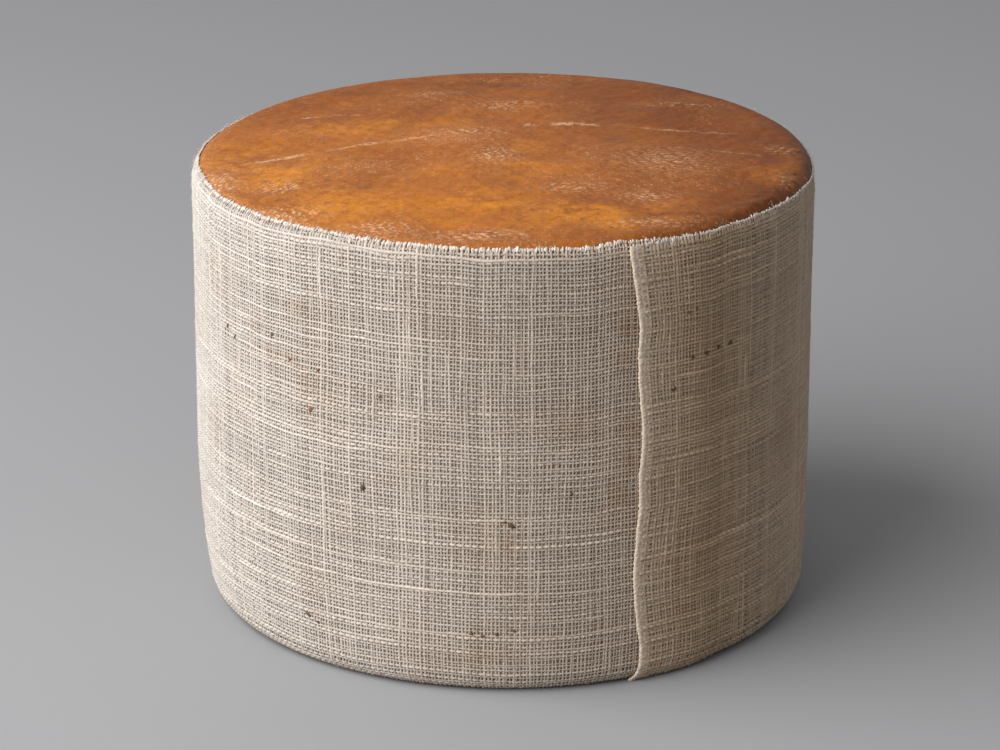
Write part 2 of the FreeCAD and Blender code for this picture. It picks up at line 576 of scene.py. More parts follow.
def draw_wheel(outline, name):
    """The whole skin of the drum, spun round its axis from its half outline."""
    side = np.concatenate([
        np.linspace(0, outline.starts[1], 7),
        np.linspace(outline.starts[1], outline.side_end, 12)[1:],
        np.linspace(outline.side_end, outline.starts[3], 10)[1:],
        np.linspace(outline.starts[3], outline.total, 100)[1:],
    ])
    radius, height = outline.at(side)
    corners = [(0, 0), (outline.base_rim / 2, 0), *zip(radius, height)]
    clear_selection()
    bpy.ops.mesh.primitive_plane_add(size=MM, location=(0, 0, 0))
    wheel = take(name)
    bpy.ops.object.mode_set(mode="EDIT")
    bpy.ops.mesh.select_all(action="SELECT")
    bpy.ops.mesh.merge(type="CENTER")
    for (x, z), (next_x, next_z) in zip(corners, corners[1:]):
        step = {"value": (next_x - x, 0, next_z - z)}
        bpy.ops.mesh.extrude_region_move(TRANSFORM_OT_translate=step)
    bpy.ops.mesh.select_all(action="SELECT")
    bpy.ops.mesh.spin(steps=RIND_SIDES, angle=TAU, center=(0, 0, 0), axis=UP)
    bpy.ops.object.mode_set(mode="OBJECT")
    face_outwards(wheel)
    return wheel


def on_top(degrees, share):
    """A place on the top, in millimetres, from its direction and share of the radius."""
    reach = share * CHEESE_RADIUS / MM
    return reach * math.sin(math.radians(degrees)), -reach * math.cos(math.radians(degrees))


def near_line(x, y, ax, ay, bx, by):
    """Distance to a stretch of line, and the share of it passed."""
    dx, dy = bx - ax, by - ay
    passed = np.clip(((x - ax) * dx + (y - ay) * dy) / (dx * dx + dy * dy), 0, 1)
    return np.hypot(x - ax - passed * dx, y - ay - passed * dy), passed


def scratch_mask(x, y):
    """Where the long scratches run, broken and feathered, 0 to 1. Millimetres."""
    total = np.zeros_like(x)
    wave_x = x + 0.5 * ripple(x, y, 18, 5)
    wave_y = y + 0.5 * ripple(x, y, 16, 6)
    for seed, (*start, end_degrees, end_share, width) in enumerate(SCRATCHES):
        ends = (*on_top(*start), *on_top(end_degrees, end_share))
        away, passed = near_line(wave_x, wave_y, *ends)
        broken = np.clip(0.7 + 0.7 * np.sin(passed * 11 + seed * 2) * np.sin(passed * 5), 0, 1)
        taper = ease(passed / 0.08) * ease((1 - passed) / 0.08)
        wide = width * (0.6 + 0.8 * np.abs(np.sin(passed * 17 + seed)))
        total = np.maximum(total, broken * taper * bump(away, 0, wide))
    return total


def scuff_mask(x, y):
    """Where the wax is scuffed to white, 0 to 1. Millimetres."""
    total = np.zeros_like(x)
    for degrees, share, long, wide in SCUFFS:
        middle_x, middle_y = on_top(degrees, share)
        off = ((x - middle_x) / long) ** 2 + ((y - middle_y) / wide) ** 2
        total = np.maximum(total, np.exp(-off))
    strokes = ripple(x, y * 2.6, 3.2, 11, waves=24)
    fine = ripple(x, y * 1.6, 1.6, 12, waves=24)
    return total * ease((0.7 * strokes + 0.6 * fine - 0.05) / 0.6)


# Hazy, golden and dark areas: place, half width and half depth in millimetres, strength.
HAZE = (
    (60, 0.60, 22, 20, 0.85), (115, 0.80, 14, 7, 0.7), (-65, 0.50, 20, 8, 0.9),
    (180, 0.85, 22, 6, 0.8), (-120, 0.20, 15, 8, 0.95), (-155, 0.65, 16, 9, 0.75),
    (130, 0.80, 20, 7, 0.8), (155, 0.55, 22, 8, 0.4), (-70, 0.95, 6, 15, 1),
    (-15, 0.90, 22, 4, 0.8), (40, 0.95, 14, 5, 0.7), (180, 0.45, 14, 6, 0.8),
    (-15, 0.15, 7, 8, 0.8), (-105, 0.70, 14, 5, 0.5),
)
GOLD = (
    (-70, 0.80, 16, 11, 1), (-40, 0.80, 20, 12, 1), (-115, 0.55, 14, 6, 0.8),
    (20, 0.75, 22, 8, 1), (-10, 0.60, 20, 10, 0.7), (75, 0.95, 7, 14, 0.8),
    (20, 0.25, 14, 7, 0.5), (-85, 0.90, 6, 14, 0.7), (-140, 0.35, 10, 4, 0.6),
)
DARK = (
    (60, 0.95, 7, 14, 1), (40, 0.95, 16, 3, 0.9), (80, 0.95, 4, 16, 0.8),
    (125, 0.90, 18, 6, 0.5), (145, 0.90, 26, 5, 0.5), (-10, 0.90, 24, 3, 0.5),
    (105, 0.40, 22, 6, 0.3), (180, 0.80, 30, 4, 0.5), (-145, 0.85, 16, 4, 0.4),
)


def patches(x, y, areas, seed):
    """Soft, ragged areas from a list of them, 0 to about 1. Millimetres."""
    total = np.zeros_like(x)
    ragged_x = x + 5 * ripple(x, y, 22, seed)
    ragged_y = y + 3 * ripple(x, y, 16, seed + 1)
    for degrees, share, long, deep, strength in areas:
        middle_x, middle_y = on_top(degrees, share)
        off = ((ragged_x - middle_x) / long) ** 2 + ((ragged_y - middle_y) / deep) ** 2
        total = np.maximum(total, strength * np.exp(-off))
    return total


def shape_rind(wheel):
    """Broad swells, dimples, scratches and the uneven foot, moved into the drawn wheel."""
    rind = settings("rind")
    points = points_of(wheel)
    x, y, z = (points / MM).T
    radius = np.hypot(x, y)
    top = ease((z - CHEESE_HEIGHT / MM + 6) / 3)
    scratch = scratch_mask(x, y) * top
    scuff = scuff_mask(x, y) * top
    relief = rind.swell * ripple(x, y, 34, 1) + 0.4 * rind.swell * ripple(x, y, 15, 2)
    relief = relief + rind.dimple * ripple(x, y, 4.5, 3, 24)
    relief = relief + 0.4 * rind.dimple * ripple(x, y, 1.9, 4, 24)
    relief = relief - rind.scratch_depth * scratch + 0.05 * MM * scuff
    rim = ease((CHEESE_RADIUS / MM - 2.5 - radius) / 4)
    points[:, 2] += relief * top * (0.25 + 0.75 * rim)
    move_points(wheel, settle(points))
    # Painted light and shade on the rim: a pale band inside the rim, strongest at the left where
    # the lamp falls, and a dark band, strongest at the right, away from it.
    edge = ease((radius - CHEESE_RADIUS / MM + 6.5) / 3)
    left = 0.5 - 0.5 * x / np.maximum(radius, 1)
    haze_and_rim_light = patches(x, y, HAZE, 61) + 0.75 * edge * left
    dark_and_rim_shade = patches(x, y, DARK, 63) + 0.6 * edge * (1 - left)
    for name, values in (("scratch", scratch), ("scuff", scuff), ("top", top), ("haze_and_rim_light", haze_and_rim_light),
                         ("gold", patches(x, y, GOLD, 65)), ("dark_and_rim_shade", dark_and_rim_shade)):
        keep_value(wheel, name, np.clip(values, 0, 1))


def rind_material():
    """Waxy amber rind: clear golden and dry russet areas, pale bloom, white flakes, with painted
    light on the rim at the left and painted shade at the right and back.
    """
    rind = settings("rind")
    material, tree, surface = new_material("waxy_rind", 0.5, Specular_IOR_Level=0.08)
    place = add_node(tree, "TexCoord").outputs["Object"]
    broad = noise(tree, place, 24, 5)
    patchy = noise(tree, place, 70, 6, 0.62, 0.4)
    mottle = noise(tree, place, 260, 6, 0.68)
    grain = noise(tree, place, 900, 4, 0.7)
    parts = add_node(tree, "SeparateXYZ", {"Vector": place}).outputs
    side, back = parts["X"], parts["Y"]

    base = blend(tree, window(tree, broad, 0.40, 0.62, 0.6), rind.amber, rind.russet)
    # Towards the right the rind turns russet: partly its own darker wax, partly painted shade away
    # from the lamp.
    base = blend(tree, window(tree, side, -0.02, 0.075, 0.75), base, rind.russet)
    gold = plus(tree, stored(tree, "gold"), window(tree, patchy, 0.48, 0.66, 0.34))
    base = blend(tree, times(tree, gold, window(tree, mottle, 0.30, 0.55)), base, rind.gold)
    # The kept dark patches carry darker wax and the painted shade on the rim at the right.
    dark_and_rim_shade = times(tree, stored(tree, "dark_and_rim_shade"), window(tree, mottle, 0.30, 0.62, 0.9))
    dark_and_rim_shade = plus(tree, dark_and_rim_shade, window(tree, mottle, 0.56, 0.74, 0.22))
    base = blend(tree, dark_and_rim_shade, base, rind.umber)

    # The kept haze carries the pale bloom and the painted light on the rim at the left, into the
    # bloom and the flecks.
    cloud = plus(tree, times(tree, stored(tree, "haze_and_rim_light"), 0.8),
                 window(tree, patchy, 0.54, 0.30, 0.35))
    speckle = window(tree, plus(tree, times(tree, grain, 0.5), times(tree, mottle, 0.5)),
                     0.40, 0.60)
    haze_and_rim_light = times(tree, cloud, plus(tree, times(tree, speckle, 0.45), 0.42))
    base = blend(tree, times(tree, haze_and_rim_light, 0.85), base, rind.bloom)

    torn = shifted(tree, place, 1500, 1.1 * MM)
    dusted = plus(tree, times(tree, cloud, 0.9), window(tree, mottle, 0.42, 0.62, 0.35))
    flecks = plus(tree, specks(tree, torn, 1100, 0.46, 0.40),
                  times(tree, specks(tree, torn, 520, 0.34, 0.2), 0.7))
    flecks = times(tree, flecks, dusted)
    ragged = window(tree, grain, 0.38, 0.52)
    marks = plus(tree, times(tree, stored(tree, "scratch"), 0.7),
                 times(tree, stored(tree, "scuff"), 0.78))
    pits = times(tree, specks(tree, torn, 800, 0.40, 0.30), window(tree, mottle, 0.62, 0.44))
    base = blend(tree, times(tree, pits, 0.28), base, rind.umber)
    white = plus(tree, times(tree, flecks, 0.42), times(tree, marks, ragged))
    base = blend(tree, white, base, rind.flake)
    crumb = brightness(tree, grain, 0.84, 1.18, From_Min=0.32, From_Max=0.68)
    base = blend(tree, 1.0, base, crumb, "MULTIPLY")
    # Painted shade: the rind darkens towards the right and the back, away from the lamp.
    shade = plus(tree, window(tree, side, 0.0, 0.085), window(tree, back, -0.01, 0.06, 0.6))
    base = blend(tree, shade, base, rind.painted_shade_tint, "MULTIPLY")
    base = blend(tree, stored(tree, "top"), rind.under, base)
    tree.links.new(base, surface.inputs["Base Color"])

    rough = add_node(tree, "MapRange", {"Value": plus(tree, haze_and_rim_light, white), "To Min": 0.38,
                                        "To Max": 0.75})
    tree.links.new(rough.outputs["Result"], surface.inputs["Roughness"])
    height = plus(tree, times(tree, mottle, 0.45), times(tree, grain, 0.35))
    height = plus(tree, height, times(tree, flecks, 0.2))
    skin = add_node(tree, "Bump", {"Height": height, "Strength": 0.3, "Distance": 0.5 * MM})
    tree.links.new(skin.outputs["Normal"], surface.inputs["Normal"])
    return material


# ---------------------------------------------------------------- the weave

# Upright yarns that stand out pale: direction in degrees from the front.
PALE_WARPS = (-52, -34, -17.5, -3.3, 58, 120, 171, 214, 262)
# Yarns along the strip that stand out pale: share of the strip's width, where round the
# wheel the thick stretch begins, and how far it goes, both in degrees from the front.
PALE_WEFTS = (
    (0.80, -60, 60), (0.785, -40, 30), (0.90, -70, 40), (0.565, -32, 56), (0.53, -52, 30),
    (0.492, -14, 36), (0.462, -8, 30), (0.345, -20, 44), (0.235, -30, 40), (0.335, -62, 30),
    (0.15, -50, 46), (0.68, -48, 26), (0.74, 34, 30), (0.50, 40, 22), (0.28, 36, 30),
    (0.60, 110, 50), (0.42, 150, 60), (0.82, 190, 50), (0.25, 215, 70), (0.70, 250, 40),
)
# Soaked-in stains: direction, share of the width, half size in degrees and share, strength.
STAINS = (
    (-44, 0.70, 8.0, 0.02, 0.30), (-22, 0.655, 4.0, 0.04, 0.25), (-40, 0.82, 5.0, 0.02, 0.20),
    (-50, 0.76, 3.0, 0.02, 0.25), (1.0, 0.345, 1.2, 0.02, 0.35), (-29, 0.96, 0.8, 0.02, 0.40),
    (22, 0.78, 2.0, 0.09, 0.32), (23, 0.56, 1.6, 0.10, 0.34), (22, 0.44, 2.2, 0.05, 0.28),
    (12, 0.60, 3.0, 0.04, 0.25), (-4, 0.08, 6.0, 0.03, 0.4), (34, 0.22, 3.0, 0.12, 0.2),
    (-38, 0.66, 6.0, 0.04, 0.15), (-20, 0.50, 4.0, 0.04, 0.15), (62, 0.45, 7.0, 0.08, 0.2),
    (-2, 0.13, 4.0, 0.03, 0.35), (140, 0.35, 8.0, 0.08, 0.25), (225, 0.60, 8.0, 0.06, 0.25),
)


class Lattice:
    """Where every warp crosses every weft, and how thick and how pale each yarn is there."""

    def __init__(self):
        cloth = settings("cloth")
        self.strip = Strip()
        self.warps, self.wefts = cloth.warps, cloth.wefts
        self.columns, self.rows = self.warps + 1, self.wefts + 1
        self.across = self.spaced(self.columns, self.rows, 21) * self.strip.length
        self.up = self.spaced(self.rows, self.columns, 22).T
        across, up = self.across, self.up
        width = self.strip.width
        flat_x, flat_y = across / MM, up * width / MM
        self.across = across + 0.25 * MM * ripple(flat_x, flat_y, 46, 23)
        self.up = up + (0.18 * ripple(flat_x, flat_y, 58, 24)
                        + 0.06 * ripple(flat_x, flat_y, 21, 25)) * MM / width
        self.turn = np.degrees(self.across / self.strip.reach + cloth.lap_edge)
        self.warp_swell, self.warp_shade = self.yarns(self.columns, self.rows, 31, 0.10)
        self.weft_swell, self.weft_shade = self.yarns(self.rows, self.columns, 41, 0.12)
        self.weft_swell, self.weft_shade = self.weft_swell.T, self.weft_shade.T
        self.add_pale_yarns()
        tight = 1 + 0.19 * ease((self.turn - 24) / 3) * ease((110 - self.turn) / 40)
        left = ease((self.turn - 255) / 30) * ease((372 - self.turn) / 50)
        tight = tight + left * (0.16 + 0.14 * ease((self.up - 0.90) / 0.06))
        tight = tight + 0.10 * ease((self.up - 0.965) / 0.015)
        felted = 1 + 0.35 * np.exp(-np.clip(self.across, 0, None) / (4 * MM))
        self.warp_swell = self.warp_swell * tight * felted
        self.weft_swell = self.weft_swell * tight * felted
        self.soak = self.stains()

    def spaced(self, lines, along, seed):
        """Places of the lines as shares of the whole, a little uneven and wandering."""
        random = np.random.default_rng(seed)
        even = np.arange(lines) + 0.5
        knots = np.arange(0, lines + 5, 5)
        slow = np.interp(even, knots, random.normal(size=len(knots)))
        places = even + 0.065 * random.normal(size=lines) + 0.09 * slow
        wander = 0.09 * drift(lines, along, 9, seed + 100) + 0.05 * drift(lines, along, 3, seed)
        return (places[:, None] + wander) / lines

    def yarns(self, lines, along, seed, unevenness):
        """Thickness and paleness along each yarn: its own, slow changes, and slubs."""
        random = np.random.default_rng(seed)
        own = random.normal(size=(lines, 1))
        swell = np.exp(unevenness * own + 0.10 * drift(lines, along, 7, seed + 1)
                       + 0.07 * drift(lines, along, 2, seed + 2))
        slub = np.clip(drift(lines, along, 16, seed + 3) - 1.5, 0, 1.2)
        swell = swell * (1 + 0.30 * slub)
        shade = 0.16 * own + 0.12 * drift(lines, along, 12, seed + 4)
        shade = shade + 0.08 * drift(lines, along, 3, seed + 5) + 0.4 * slub
        return swell, shade

    def add_pale_yarns(self):
        """The few yarns that stand out: thicker and paler for a stretch, or all the way."""
        for degrees in PALE_WARPS:
            i = np.abs((self.turn[:, 0] - degrees + 180) % 360 - 180).argmin()
            self.warp_swell[i] *= 1.25
            self.warp_shade[i] += 0.50
        for height, start, span in PALE_WEFTS:
            j = np.abs(self.up[0] - height).argmin()
            past = (self.turn[:, j] - start) % 360
            thick = ease(past / 3) * ease((span - past) / 5)
            self.weft_swell[:, j] *= 1 + 0.08 * thick
            self.weft_shade[:, j] += 0.42 * thick

    def stains(self):
        """How far each crossing is stained, 0 to 1."""
        total = np.zeros_like(self.up)
        for degrees, height, half_turn, half_height, strength in STAINS:
            off = (self.turn - degrees + 180) % 360 - 180
            spot = bump(off, 0, half_turn) * bump(self.up, height, half_height)
            total = np.maximum(total, strength * spot)
        flat_x, flat_y = self.across / MM, self.up * self.strip.width / MM
        patchy = 0.6 + 0.5 * ripple(flat_x, flat_y, 9, 51)
        cloud = 0.10 * np.clip(ripple(flat_x, flat_y, 30, 52), 0, 1)
        return np.clip(total * patchy + cloud, 0, 1)

    def colours(self, shade, i, j):
        """Yarn colour at some crossings, from paleness, -1 to 1, age with painted shade at the
        right, and stain.
        """
        cloth = settings("cloth")
        turn = self.turn[i, j]
        # Towards the right, and most on the lapped end near 38 degrees, the yarns turn browner and
        # darker: partly aged cloth, partly painted shade away from the lamp.
        aged_and_shaded = 0.5 + 0.5 * np.sin(np.radians(turn)) + 0.5 * bump(turn, 38, 16)
        aged_and_shaded = aged_and_shaded[:, None]
        tone = (1 - aged_and_shaded) * np.array(cloth.fresh) + aged_and_shaded * np.array(cloth.aged_and_shaded)
        up, down = np.clip(shade, 0, 1)[:, None], np.clip(-shade, 0, 1)[:, None]
        tone = tone * (1 + up * (cloth.pale - 1) + down * (cloth.dull - 1))
        tint = 1 - self.soak[i, j][:, None] * (1 - np.array(cloth.stain))
        return np.clip(tone * tint, 0, 0.9)


def draw_yarn_pair(name, crimp):
    """Two neighbouring yarns over one repeat, one over and one under. The pitch is 1 mm."""
    clear_selection()
    bpy.ops.mesh.primitive_cylinder_add(vertices=3, radius=0.5 * MM, depth=2 * MM,
                                        end_fill_type="NOTHING", location=(0, MM, 0),
                                        rotation=(math.pi / 2, 0, 0))
    pair = take(name)
    bpy.ops.object.mode_set(mode="EDIT")
    bpy.ops.mesh.select_all(action="SELECT")
    bpy.ops.mesh.bisect(plane_co=(0, MM, 0), plane_no=(0, 1, 0))
    raise_ring(pair, in_middle, 2 * crimp)
    raise_ring(pair, lambda co: True, -crimp)
    bpy.ops.mesh.select_all(action="SELECT")
    bpy.ops.mesh.duplicate_move(TRANSFORM_OT_translate={"value": (MM, 0, 0)})
    raise_ring(pair, lambda co: in_second(co) and in_middle(co), -2 * crimp)
    raise_ring(pair, lambda co: in_second(co) and not in_middle(co), 2 * crimp)
    bpy.ops.object.mode_set(mode="OBJECT")
    return pair


def in_middle(co):
    """Whether a point of the pair is in the ring half-way along."""
    return abs(co.y - MM) < 0.1 * MM


def in_second(co):
    """Whether a point of the pair is on the second yarn."""
    return co.x > 0.5 * MM + 1e-7


def raise_ring(piece, chosen, rise):
    """Lifts the points that a test chooses."""
    bpy.ops.object.mode_set(mode="OBJECT")
    for vertex in piece.data.vertices:
        vertex.select = bool(chosen(vertex.co))
    bpy.ops.object.mode_set(mode="EDIT")
    bpy.ops.transform.translate(value=(0, 0, rise))


def thirds(count):
    """Where three equal runs of yarns begin, and where the last one ends."""
    return [count * part // 3 for part in range(4)]


def draw_yarns(name, lines, crossings):
    """A flat field of woven yarns, 1 mm apart both ways: so many lines, so many crossings."""
    field = draw_yarn_pair(name, FIELD_CRIMP * MM)
    repeat(field, crossings // 2, (0, 2 * MM, 0), merge=True)
    bpy.ops.object.mode_set(mode="EDIT")
    bpy.ops.mesh.select_all(action="SELECT")
    bpy.ops.mesh.fill_holes(sides=3)
    bpy.ops.object.mode_set(mode="OBJECT")
    repeat(field, lines // 2, (2 * MM, 0, 0))
    return field


def lay_yarns(field, lattice, first, upright):
    """Lays a flat field of yarns on the wheel, each at its own place, thickness and colour."""
    cloth = settings("cloth")
    points = points_of(field) / MM
    line = np.rint(points[:, 0]).astype(int)
    step = np.rint(points[:, 1]).astype(int)
    over = np.where((line + step) % 2 == 0, -1.0, 1.0)
    aside = points[:, 0] - line
    rise = points[:, 2] - FIELD_CRIMP * over
    line = line + first
    if upright:
        i, j = line, step
        swell, shade = lattice.warp_swell[i, j], lattice.warp_shade[i, j]
    else:
        i, j = step, line
        swell, shade = lattice.weft_swell[i, j], lattice.weft_shade[i, j]
        over = -over
        aside = -aside
    if first % 2:
        over = -over
    across, up = lattice.across[i, j], lattice.up[i, j]
    sideways = aside / FIELD_HALF_WIDTH * 0.5 * cloth.yarn_width * swell
    proud = 0.16 * MM * np.clip(swell - 1.2, 0, 0.6)
    calm = 0.45 + 0.55 * ease(up / 0.07)
    thick = cloth.yarn_thickness * (0.31 + 0.31 * swell)
    lift = proud + calm * (cloth.crimp * over + 2 * rise * thick)
    if upright:
        across = across + sideways
    else:
        up = up + sideways / lattice.strip.width
    move_points(field, lattice.strip.lay(across, up, lift))
    keep_colour(field, "yarn", lattice.colours(shade, i, j))
    unroll(field, across, up)


def yarn_material(name, sheen=0.05):
    """Matt linen yarn in its own kept colour, with fine streaks of fibre."""
    material, tree, surface = new_material(name, 0.9, Specular_IOR_Level=0.2,
                                           Sheen_Weight=sheen, Sheen_Roughness=0.5)
    place = add_node(tree, "TexCoord").outputs["Object"]
    fine = window(tree, noise(tree, place, 3800, 2, 0.6), 0.25, 0.75)
    soft = window(tree, noise(tree, place, 700, 3, 0.6), 0.3, 0.7)
    streaks = plus(tree, times(tree, fine, 0.55), times(tree, soft, 0.45))
    tint = brightness(tree, streaks, 0.80, 1.14)
    base = blend(tree, 1.0, stored(tree, "yarn", "Color"), tint, "MULTIPLY")
    tree.links.new(base, surface.inputs["Base Color"])
    return material


def weave(kind, names, upright):
    """Draws and lays all the yarns that run one way, as three pieces."""
    lattice = Lattice()
    counts = (lattice.warps, lattice.wefts)
    lines, crossings = counts if upright else reversed(counts)
    material = yarn_material("linen_" + kind)
    cuts = thirds(lines)
    for name, first, end in zip(names, cuts, cuts[1:]):
        field = draw_yarns(f"cloth_{kind}_{name}", end - first, crossings)
        lay_yarns(field, lattice, first, upright)
        finish_piece(field, material)


# ---------------------------------------------------------------- hems, selvage and specks

# Bits of flax stalk and knots: direction, share of the width, half length and half width in
# millimetres, turn from the weft, and a shade from brown, 0, to orange, 1.
SHIVES = (
    (-36.2, 0.600, 0.80, 0.60, 60, 0.8), (-25.6, 0.448, 0.85, 0.70, 70, 0.05),
    (1.5, 0.392, 1.05, 0.55, 150, 0.1), (0.3, 0.400, 0.55, 0.35, 20, 0.2),
    (31.2, 0.670, 0.75, 0.60, 40, 0.0), (35.3, 0.733, 0.60, 0.50, 90, 0.0),
    (38.4, 0.735, 0.75, 0.60, 0, 0.0), (41.4, 0.739, 0.60, 0.50, 0, 0.0),
    (44.5, 0.738, 0.90, 0.60, 10, 0.0), (-59.8, 0.716, 0.60, 0.40, 80, 0.1),
    (-57.1, 0.700, 0.45, 0.35, 80, 0.2), (-38.4, 0.118, 1.00, 0.45, 140, 0.2),
    (-36.2, 0.106, 0.55, 0.35, 140, 0.3), (-5.7, 0.140, 0.55, 0.40, 0, 0.2),
    (-3.6, 0.136, 0.65, 0.35, 0, 0.3), (-1.2, 0.142, 0.50, 0.40, 0, 0.1),
    (2.0, 0.150, 0.50, 0.35, 0, 0.3), (34.4, 0.835, 0.50, 0.40, 90, 0.3),
    (36.0, 0.840, 0.45, 0.40, 0, 0.2), (-45.5, 0.742, 0.90, 0.30, 85, 0.3),
    (-41.0, 0.700, 0.50, 0.40, 85, 0.5), (-34.5, 0.690, 0.50, 0.35, 20, 0.5),
    (-22.0, 0.660, 0.50, 0.35, 20, 0.5), (12.0, 0.46, 0.50, 0.35, 30, 0.3),
    (104, 0.42, 0.80, 0.50, 15, 0.1), (131, 0.71, 0.60, 0.40, 80, 0.4),
    (158, 0.25, 0.80, 0.50, 0, 0.0), (183, 0.55, 0.70, 0.60, 40, 0.8),
    (207, 0.80, 0.80, 0.40, 5, 0.1), (229, 0.36, 0.60, 0.50, 70, 0.2),
    (251, 0.62, 0.80, 0.45, 0, 0.0), (268, 0.18, 0.60, 0.45, 30, 0.5),
)


def draw_row(name, count, segments, rings):
    """A row of unit spheres, each of them to be laid on its own."""
    clear_selection()
    bpy.ops.mesh.primitive_uv_sphere_add(segments=segments, ring_count=rings, radius=MM,
                                         rotation=(math.pi / 2, 0, 0))
    row = take(name)
    repeat(row, count, (ROW_STEP * MM, 0, 0))
    points = points_of(row) / MM
    number = np.rint(points[:, 0] / ROW_STEP).astype(int)
    points[:, 0] -= ROW_STEP * number
    return row, number, points


def hem_ends(lattice):
    """Ragged pale ends of the upright yarns, standing just over both hems."""
    strip = lattice.strip
    random = np.random.default_rng(71)
    count = 3 * lattice.warps
    row, number, unit = draw_row("cloth_hem_ends", count, 5, 4)
    warp = number % lattice.warps
    upper = number < 2 * lattice.warps
    strand = np.where(number < lattice.warps, -0.20, 0.20) * upper
    scale = np.exp(0.20 * random.normal(size=(count, 3)))[number]
    lean, start, own = random.normal(size=(3, count))[:, number]
    column = lattice.turn[warp, -1]
    front = ease((100 - np.abs(column - 360)) / 60) * ease((385 - column) / 8)
    half_width = np.where(upper, 0.31 + 0.05 * front, 0.34) * scale[:, 0]
    half_length = np.where(upper, 0.44 + 0.16 * front, 0.34) * scale[:, 1]
    half_depth = np.where(upper, 0.22 + 0.06 * front, 0.22) * scale[:, 2]
    out = np.where(upper, -0.30, 0.35) + 0.12 * start + unit[:, 1] * half_length
    across = lattice.across[warp, np.where(upper, lattice.wefts - 1, 1)]
    aside = strand + 0.10 * own + unit[:, 0] * half_width + 0.09 * lean * unit[:, 1]
    across = across + aside * MM
    up = np.where(upper, 1.0, 0.0) + out * MM / strip.width
    lift = (unit[:, 2] * half_depth + 0.06 * start) * MM
    move_points(row, strip.lay(across, up, lift))
    tone = np.array(settings("cloth").hem) * (1 + 0.12 * own)[:, None]
    # Painted shade: the upper ends darken away from the front and left, where the lamp falls, and
    # the lower ends are darker and browner near the floor.
    tone = np.where(upper[:, None], tone * (0.84 + 0.16 * front[:, None]),
                    tone * np.array([0.62, 0.56, 0.48]))
    keep_colour(row, "yarn", np.clip(tone, 0, 0.92))
    return row


def selvage(lattice):
    """The felted band along the cut edge, its edge in fine scallops."""
    strip = lattice.strip
    clear_selection()
    bpy.ops.mesh.primitive_grid_add(x_subdivisions=12, y_subdivisions=420, size=1)
    band = take("cloth_selvage")
    apply_modifier(band, "SOLIDIFY", thickness=0.5, offset=0)
    points = points_of(band)
    over = points[:, 2] > 0
    share_across = np.clip(points[:, 0] + 0.5, 0, 1)
    up = np.clip(points[:, 1] + 0.5, 0, 1)
    height = up * strip.width / MM
    random = np.random.default_rng(81)
    teeth = np.cumsum(random.uniform(0.7, 1.6, size=220))
    gap = np.abs(height[:, None] - teeth).min(1)
    scallop = 0.30 * ease(gap / 0.55) * (0.7 + 0.3 * np.sin(height * 0.9))
    wide = 2.7 + 0.3 * np.sin(height * 0.23) + 0.3 * np.sin(height * 0.61 + 2)
    start = -0.55 - scallop
    x = start + share_across * (wide - start)
    dome = np.sqrt(np.clip(1 - (1 - np.clip((x - start) / 0.7, 0, 1)) ** 2, 0, 1))
    fall = 1 - np.clip((x - 0.2) / (wide - 0.2), 0, 1) ** 0.8
    fluff = 0.08 * ripple(x, height, 1.1, 82, 24) + 0.07 * ripple(x, height, 0.6, 83, 24)
    ribs = np.sin(TAU * height / 0.98 + 1.2 * ripple(x, height, 5, 87))
    fluff = fluff + 0.05 * ripple(x * 0.3, height, 2.2, 84) + 0.045 * ribs
    fluff = fluff + 0.05 * np.sin(TAU * x / 0.9 + ripple(x * 0.2, height, 4, 88)) * (x > 0.3)
    outer = -0.05 + dome * (0.22 + 0.17 * fall + fluff) - 0.20 * (1 - fall)
    inner = -0.05 - 0.42 * dome * np.where(x < 1, 1, 0.6)
    across = x * MM
    lift = np.where(over, outer, inner) * MM
    move_points(band, strip.lay(across, up, lift))
    cloth = settings("cloth")
    # Mostly the aged yarn colour, so partly painted shade.
    tone = np.array(cloth.fresh) * 0.2 + np.array(cloth.aged_and_shaded) * 0.8
    # The cut edge is made brighter: a painted highlight where the edge faces the lamp.
    bright = 1.26 + 0.24 * bump(x, start, 0.45) + 0.10 * ripple(x, height, 2.4, 85)
    bright = bright + 0.16 * ripple(x, height * 0.6, 0.8, 86, 24) + 0.10 * ribs
    bright = bright - 0.16 * ease((x - 1.2) / 1.8)
    keep_colour(band, "yarn", np.clip(tone * bright[:, None], 0, 0.9))
    return band


